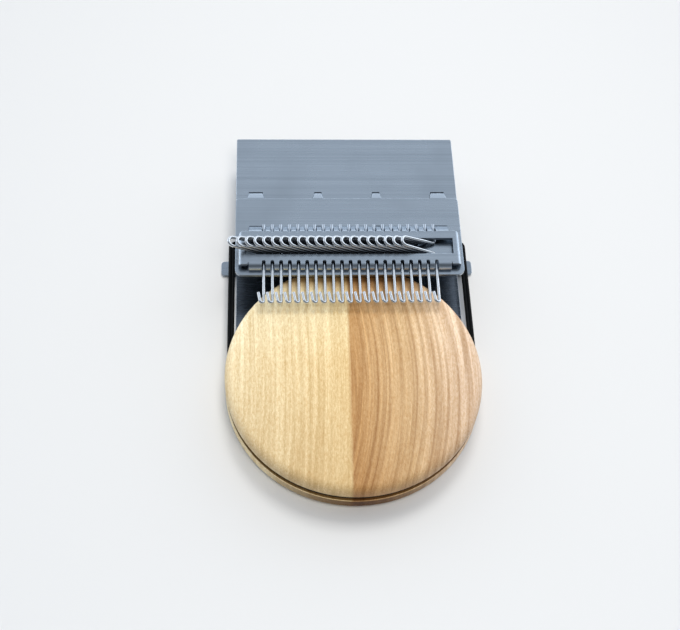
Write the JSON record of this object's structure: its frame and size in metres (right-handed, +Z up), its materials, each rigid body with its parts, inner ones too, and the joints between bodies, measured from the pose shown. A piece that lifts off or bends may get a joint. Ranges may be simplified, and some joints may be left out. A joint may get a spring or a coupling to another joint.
{
  "type": "darning loom",
  "caption": "Small darning loom: a grooved wooden disc held by an elastic loop under a bent steel frame, with a row of wire crank hooks that turn in a notched cover.",
  "frame": {"origin": "point under the disc's axis, on the underside of the base plate", "axes": "+X along the row of hooks, +Y from the disc to the back plate, +Z up"},
  "size_m": [0.079, 0.1218, 0.0202],
  "materials": {
    "steel_sheet": "brushed satin sheet",
    "steel_wire": "bright drawn wire",
    "disc_wood": "fine sanded pale hardwood, bare",
    "black_elastic": "matt black covered elastic"
  },
  "bodies": {
    "loom_frame": {"frame": "steel_sheet", "hook_bed": "steel_sheet", "hook_cover": "steel_sheet", "elastic_band": "black_elastic"},
    "disc": {"darning_disc": "disc_wood"},
    "hook_01": {"hook_01": "steel_wire"},
    "hook_02": {"hook_02": "steel_wire"},
    "hook_03": {"hook_03": "steel_wire"},
    "hook_04": {"hook_04": "steel_wire"},
    "hook_05": {"hook_05": "steel_wire"},
    "hook_06": {"hook_06": "steel_wire"},
    "hook_07": {"hook_07": "steel_wire"},
    "hook_08": {"hook_08": "steel_wire"},
    "hook_09": {"hook_09": "steel_wire"},
    "hook_10": {"hook_10": "steel_wire"},
    "hook_11": {"hook_11": "steel_wire"},
    "hook_12": {"hook_12": "steel_wire"},
    "hook_13": {"hook_13": "steel_wire"},
    "hook_14": {"hook_14": "steel_wire"},
    "hook_15": {"hook_15": "steel_wire"},
    "hook_16": {"hook_16": "steel_wire"},
    "hook_17": {"hook_17": "steel_wire"},
    "hook_18": {"hook_18": "steel_wire"},
    "hook_19": {"hook_19": "steel_wire"},
    "hook_20": {"hook_20": "steel_wire"},
    "hook_21": {"hook_21": "steel_wire"}
  },
  "joints": [
    {"name": "disc_slide", "type": "slide", "parent": "loom_frame", "child": "disc", "axis": [0, -1, 0], "range_m": [-0.006, 0.015], "stiffness_N_per_m": 100, "deforming": ["elastic_band"]},
    {"name": "hook_01_turn", "type": "hinge", "parent": "loom_frame", "child": "hook_01", "pos_m": [-0.0261, 0.0405, 0.0151], "axis": [0, 1, 0], "range_deg": [0, 132]},
    {"name": "hook_02_turn", "type": "hinge", "parent": "loom_frame", "child": "hook_02", "pos_m": [-0.02349, 0.0405, 0.0151], "axis": [0, 1, 0], "range_deg": [0, 132]},
    {"name": "hook_03_turn", "type": "hinge", "parent": "loom_frame", "child": "hook_03", "pos_m": [-0.02088, 0.0405, 0.0151], "axis": [0, 1, 0], "range_deg": [0, 132]},
    {"name": "hook_04_turn", "type": "hinge", "parent": "loom_frame", "child": "hook_04", "pos_m": [-0.01827, 0.0405, 0.0151], "axis": [0, 1, 0], "range_deg": [0, 132]},
    {"name": "hook_05_turn", "type": "hinge", "parent": "loom_frame", "child": "hook_05", "pos_m": [-0.01566, 0.0405, 0.0151], "axis": [0, 1, 0], "range_deg": [0, 132]},
    {"name": "hook_06_turn", "type": "hinge", "parent": "loom_frame", "child": "hook_06", "pos_m": [-0.01305, 0.0405, 0.0151], "axis": [0, 1, 0], "range_deg": [0, 132]},
    {"name": "hook_07_turn", "type": "hinge", "parent": "loom_frame", "child": "hook_07", "pos_m": [-0.01044, 0.0405, 0.0151], "axis": [0, 1, 0], "range_deg": [0, 132]},
    {"name": "hook_08_turn", "type": "hinge", "parent": "loom_frame", "child": "hook_08", "pos_m": [-0.00783, 0.0405, 0.0151], "axis": [0, 1, 0], "range_deg": [0, 132]},
    {"name": "hook_09_turn", "type": "hinge", "parent": "loom_frame", "child": "hook_09", "pos_m": [-0.00522, 0.0405, 0.0151], "axis": [0, 1, 0], "range_deg": [0, 132]},
    {"name": "hook_10_turn", "type": "hinge", "parent": "loom_frame", "child": "hook_10", "pos_m": [-0.00261, 0.0405, 0.0151], "axis": [0, 1, 0], "range_deg": [0, 132]},
    {"name": "hook_11_turn", "type": "hinge", "parent": "loom_frame", "child": "hook_11", "pos_m": [0, 0.0405, 0.0151], "axis": [0, 1, 0], "range_deg": [0, 132]},
    {"name": "hook_12_turn", "type": "hinge", "parent": "loom_frame", "child": "hook_12", "pos_m": [0.00261, 0.0405, 0.0151], "axis": [0, 1, 0], "range_deg": [0, 132]},
    {"name": "hook_13_turn", "type": "hinge", "parent": "loom_frame", "child": "hook_13", "pos_m": [0.00522, 0.0405, 0.0151], "axis": [0, 1, 0], "range_deg": [0, 132]},
    {"name": "hook_14_turn", "type": "hinge", "parent": "loom_frame", "child": "hook_14", "pos_m": [0.00783, 0.0405, 0.0151], "axis": [0, 1, 0], "range_deg": [0, 132]},
    {"name": "hook_15_turn", "type": "hinge", "parent": "loom_frame", "child": "hook_15", "pos_m": [0.01044, 0.0405, 0.0151], "axis": [0, 1, 0], "range_deg": [0, 132]},
    {"name": "hook_16_turn", "type": "hinge", "parent": "loom_frame", "child": "hook_16", "pos_m": [0.01305, 0.0405, 0.0151], "axis": [0, 1, 0], "range_deg": [0, 132]},
    {"name": "hook_17_turn", "type": "hinge", "parent": "loom_frame", "child": "hook_17", "pos_m": [0.01566, 0.0405, 0.0151], "axis": [0, 1, 0], "range_deg": [0, 132]},
    {"name": "hook_18_turn", "type": "hinge", "parent": "loom_frame", "child": "hook_18", "pos_m": [0.01827, 0.0405, 0.0151], "axis": [0, 1, 0], "range_deg": [0, 132]},
    {"name": "hook_19_turn", "type": "hinge", "parent": "loom_frame", "child": "hook_19", "pos_m": [0.02088, 0.0405, 0.0151], "axis": [0, 1, 0], "range_deg": [0, 132]},
    {"name": "hook_20_turn", "type": "hinge", "parent": "loom_frame", "child": "hook_20", "pos_m": [0.02349, 0.0405, 0.0151], "axis": [0, 1, 0], "range_deg": [0, 132]},
    {"name": "hook_21_turn", "type": "hinge", "parent": "loom_frame", "child": "hook_21", "pos_m": [0.0261, 0.0405, 0.0151], "axis": [0, 1, 0], "range_deg": [0, 132]}
  ],
  "couplings": [
    {"joint": "hook_02_turn", "follows": "hook_01_turn", "ratio": 1},
    {"joint": "hook_03_turn", "follows": "hook_01_turn", "ratio": 1},
    {"joint": "hook_04_turn", "follows": "hook_01_turn", "ratio": 1},
    {"joint": "hook_05_turn", "follows": "hook_01_turn", "ratio": 1},
    {"joint": "hook_06_turn", "follows": "hook_01_turn", "ratio": 1},
    {"joint": "hook_07_turn", "follows": "hook_01_turn", "ratio": 1},
    {"joint": "hook_08_turn", "follows": "hook_01_turn", "ratio": 1},
    {"joint": "hook_09_turn", "follows": "hook_01_turn", "ratio": 1},
    {"joint": "hook_10_turn", "follows": "hook_01_turn", "ratio": 1},
    {"joint": "hook_11_turn", "follows": "hook_01_turn", "ratio": 1},
    {"joint": "hook_12_turn", "follows": "hook_01_turn", "ratio": 1},
    {"joint": "hook_13_turn", "follows": "hook_01_turn", "ratio": 1},
    {"joint": "hook_14_turn", "follows": "hook_01_turn", "ratio": 1},
    {"joint": "hook_15_turn", "follows": "hook_01_turn", "ratio": 1},
    {"joint": "hook_16_turn", "follows": "hook_01_turn", "ratio": 1},
    {"joint": "hook_17_turn", "follows": "hook_01_turn", "ratio": 1},
    {"joint": "hook_18_turn", "follows": "hook_01_turn", "ratio": 1},
    {"joint": "hook_19_turn", "follows": "hook_01_turn", "ratio": 1},
    {"joint": "hook_20_turn", "follows": "hook_01_turn", "ratio": 1},
    {"joint": "hook_21_turn", "follows": "hook_01_turn", "ratio": 1}
  ]
}
